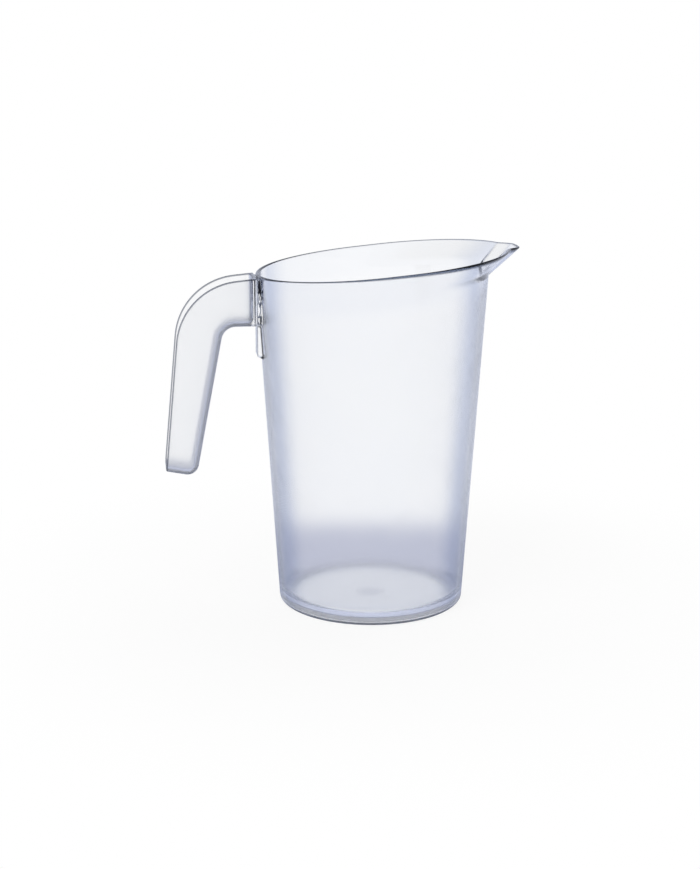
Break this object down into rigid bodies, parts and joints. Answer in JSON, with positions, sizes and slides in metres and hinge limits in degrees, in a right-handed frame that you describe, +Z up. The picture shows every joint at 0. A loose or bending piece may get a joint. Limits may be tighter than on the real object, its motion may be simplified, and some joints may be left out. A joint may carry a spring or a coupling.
{
  "type": "plastic pitcher",
  "caption": "Clear plastic pitcher: tapered round body with a slanted rim, a drawn-out pouring lip with a beak, and an open hook handle of channel section on its back.",
  "frame": {"origin": "on the axis of the round body, at the level of the table that the foot stands on", "axes": "+Z up along the body's axis, +X towards the beak, the handle on the -X side, +Y across"},
  "size_m": [0.1987, 0.13, 0.2028],
  "materials": {
    "clear_plastic": "clear and polished, with a faint blue-grey tint"
  },
  "bodies": {
    "root": {"jug_body": "clear_plastic", "handle": "clear_plastic"}
  },
  "joints": []
}
